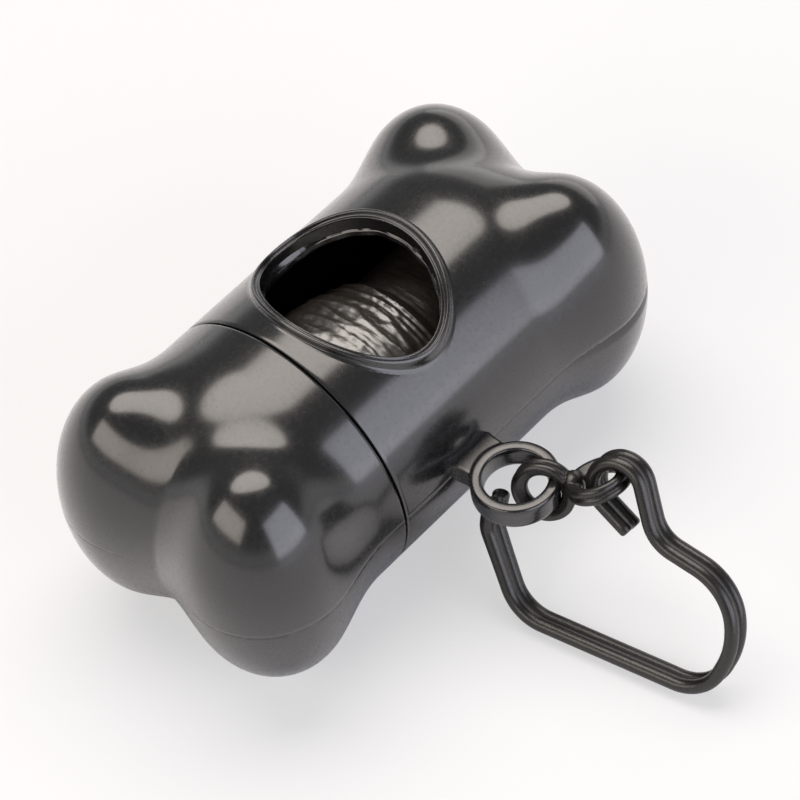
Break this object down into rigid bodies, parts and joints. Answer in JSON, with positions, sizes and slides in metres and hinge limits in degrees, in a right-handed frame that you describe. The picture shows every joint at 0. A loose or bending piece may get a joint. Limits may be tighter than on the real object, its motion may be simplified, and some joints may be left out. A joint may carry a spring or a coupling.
{
  "type": "waste bag dispenser",
  "caption": "Bone-shaped holder for a roll of pet waste bags, with an oval outlet on top, a screw-off end and an open clip on a twisted link.",
  "frame": {"origin": "centre of the bone on the barrel's axis, which is the centre of the chamber that the refill roll goes into", "axes": "+X along the bone, away from the screw cap; the cap comes off towards -X; +Z out of the bag outlet; the eyelet with the clip is on the -Y side"},
  "size_m": [0.0804, 0.0824, 0.0409],
  "materials": {
    "shell": "polished moulded black plastic",
    "fittings": "satin moulded black plastic",
    "film": "thin crinkled black bag film, rolled up",
    "core": "plain grey tube"
  },
  "bodies": {
    "bone": {"body_upper_shell": "shell", "body_lower_shell": "shell", "neck_ring": "shell"},
    "cap_ring": {"cap_thread_ring": "shell"},
    "cap": {"cap_upper_shell": "shell", "cap_lower_shell": "shell"},
    "roll": {"roll_core": "core", "bag_roll": "film"},
    "link": {"twisted_link": "fittings"},
    "clip": {"clip_hook": "fittings"}
  },
  "joints": [
    {"name": "cap_travel", "type": "slide", "parent": "bone", "child": "cap_ring", "axis": [-1, 0, 0], "range_m": [0, 0.006]},
    {"name": "cap_turn", "type": "hinge", "parent": "cap_ring", "child": "cap", "pos_m": [-0.0155, 0, 0], "axis": [-1, 0, 0], "range_deg": [0, 720]},
    {"name": "roll_spin", "type": "hinge", "parent": "bone", "child": "roll", "pos_m": [0, 0, -0.0022], "axis": [1, 0, 0], "continuous": true},
    {"name": "link_turn", "type": "hinge", "parent": "bone", "child": "link", "pos_m": [0, -0.0273, 0], "axis": [0, 0, 1], "range_deg": [-90, 60]},
    {"name": "clip_swing", "type": "hinge", "parent": "link", "child": "clip", "pos_m": [0.00628, -0.03961, 0.0028], "axis": [-0.8925, -0.1574, 0.4226], "range_deg": [-8, 120]}
  ],
  "couplings": [
    {"joint": "cap_travel", "follows": "cap_turn", "m_per_rad": 0.00047746}
  ]
}
